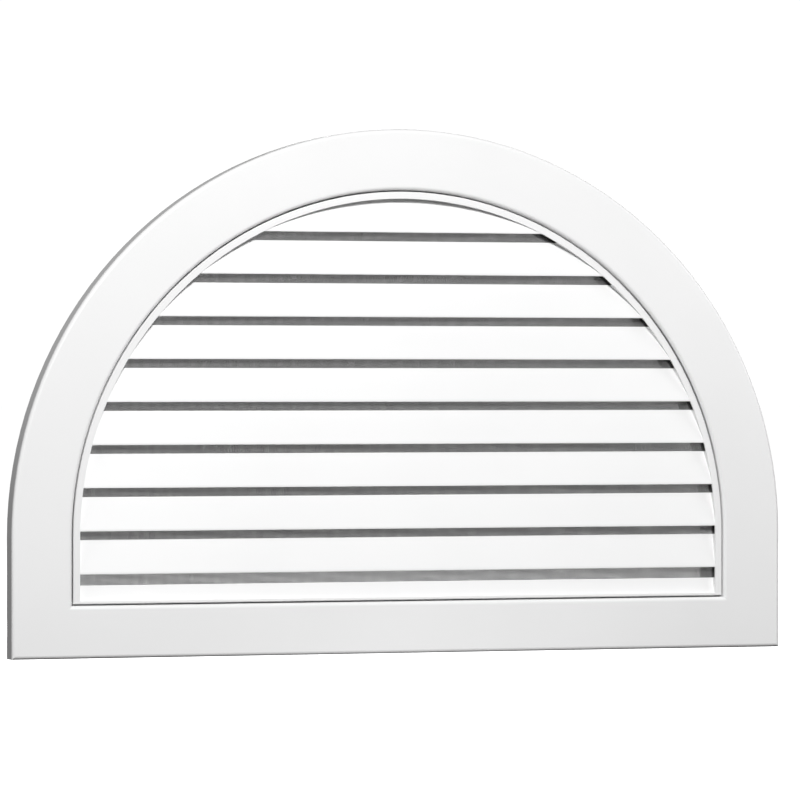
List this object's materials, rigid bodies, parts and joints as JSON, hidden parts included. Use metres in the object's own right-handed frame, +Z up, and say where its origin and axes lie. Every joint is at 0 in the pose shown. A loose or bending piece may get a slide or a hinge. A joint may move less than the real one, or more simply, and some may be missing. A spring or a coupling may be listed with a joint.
{
  "type": "gable vent",
  "caption": "Half-round louvred gable vent with a clip-on trim ring, nailing flange and insect screen, for airing a loft through the gable wall.",
  "frame": {"origin": "on the wall plane, which is the back of the nailing flange, on the centre line, at the height of the bottom nail holes", "axes": "+X to the right seen from the front, +Y into the wall, so the front faces -Y, +Z up"},
  "size_m": [0.8636, 0.0565, 0.5589],
  "materials": {
    "louver_plastic": "white, moulded, fine grain",
    "ring_plastic": "white, moulded, fine grain",
    "screen_mesh": "grey woven glass fibre"
  },
  "bodies": {
    "root": {"louver_body": "louver_plastic", "trim_ring": "ring_plastic", "insect_screen": "screen_mesh"}
  },
  "joints": []
}
